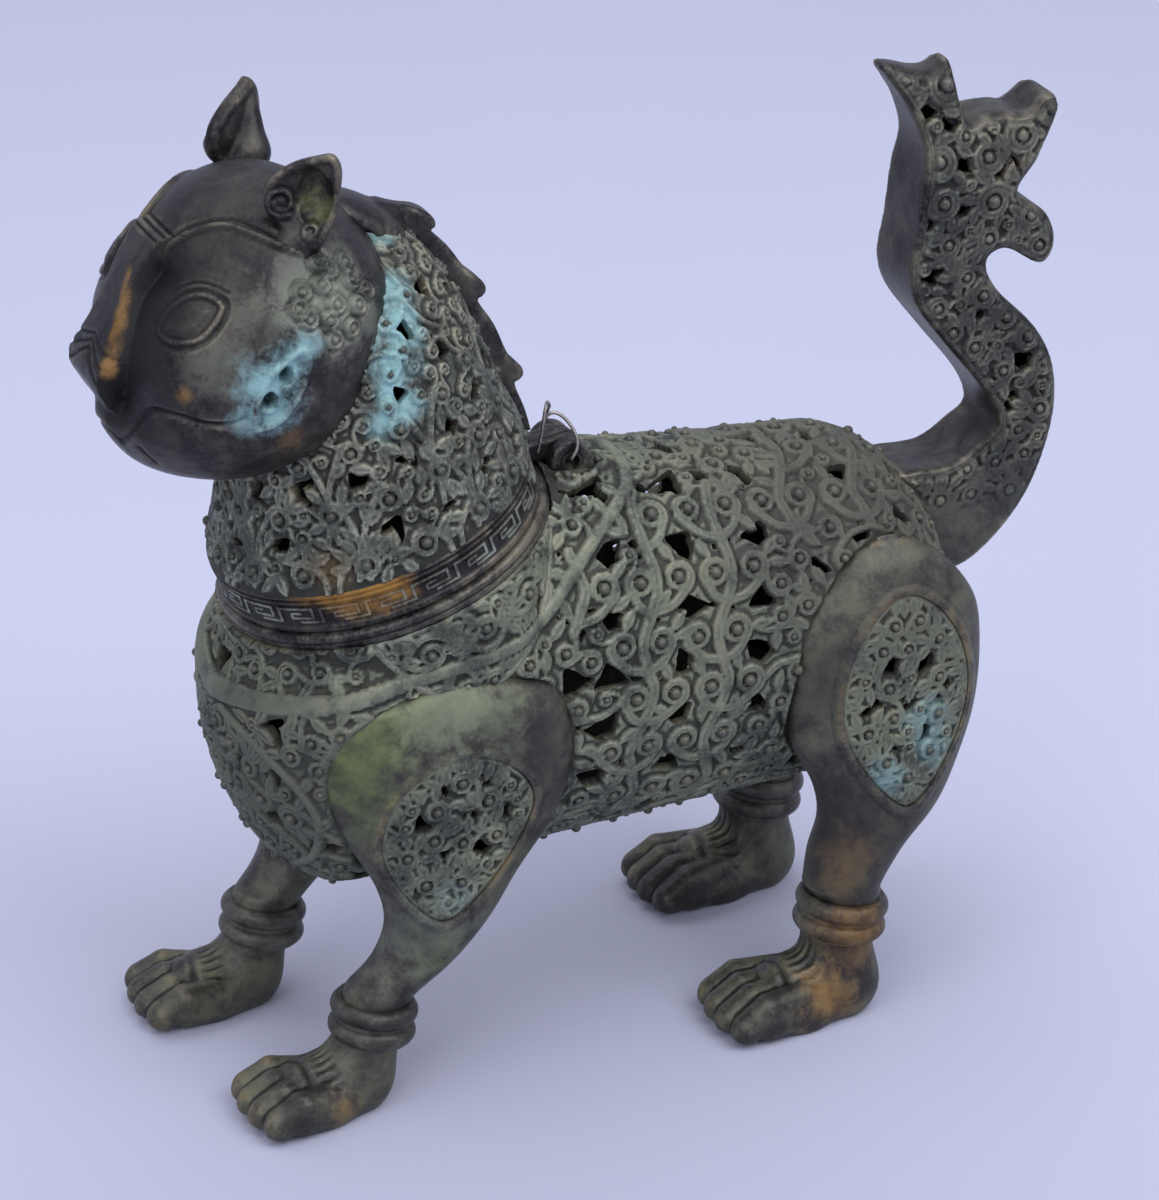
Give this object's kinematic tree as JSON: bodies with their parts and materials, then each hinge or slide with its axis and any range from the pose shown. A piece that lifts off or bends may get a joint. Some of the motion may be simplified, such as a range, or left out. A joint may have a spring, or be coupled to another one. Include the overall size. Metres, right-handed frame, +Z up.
{
  "type": "incense burner",
  "caption": "Standing lion incense burner of pierced cast bronze, whose hinged head and neck tip back as a lid over a hollow body with an ember pan",
  "frame": {"origin": "middle of the footprint's box, on the plane that the paws stand on", "axes": "+X towards the lion's nose, +Y towards its left side, +Z up"},
  "size_m": [0.3177, 0.1252, 0.307],
  "materials": {
    "green_openwork": "green patina",
    "dark_bronze": "dark brown patina",
    "banded_bronze": "brown patina, rubbed",
    "worn_bronze": "rubbed bronze",
    "wire": "plain wire"
  },
  "bodies": {
    "body": {"torso_shell": "green_openwork", "neck_seat_ring": "dark_bronze", "ember_pan": "dark_bronze", "pan_rivet": "worn_bronze", "front_left_leg": "dark_bronze", "front_right_leg": "dark_bronze", "hind_left_leg": "dark_bronze", "hind_right_leg": "dark_bronze", "front_left_panel": "green_openwork", "front_right_panel": "green_openwork", "hind_left_panel": "green_openwork", "hind_right_panel": "green_openwork", "front_left_anklet": "worn_bronze", "front_right_anklet": "worn_bronze", "hind_left_anklet": "worn_bronze", "hind_right_anklet": "worn_bronze", "front_left_paw": "dark_bronze", "front_right_paw": "dark_bronze", "hind_left_paw": "dark_bronze", "hind_right_paw": "dark_bronze", "tail_frame": "dark_bronze", "tail_fret_left": "green_openwork", "tail_fret_right": "green_openwork", "hinge_lug_left": "banded_bronze", "hinge_lug_right": "banded_bronze", "hinge_pin": "worn_bronze"},
    "lid": {"hinge_knuckle": "dark_bronze", "neck_collar": "banded_bronze", "neck_shell": "green_openwork", "head_shell": "dark_bronze", "left_ear": "dark_bronze", "right_ear": "dark_bronze", "nape_crest": "dark_bronze", "tie_wire": "wire"}
  },
  "joints": [
    {"name": "head_hinge", "type": "hinge", "parent": "body", "child": "lid", "pos_m": [0.00471, 0, 0.18749], "axis": [0, -1, 0], "range_deg": [0, 75]}
  ]
}
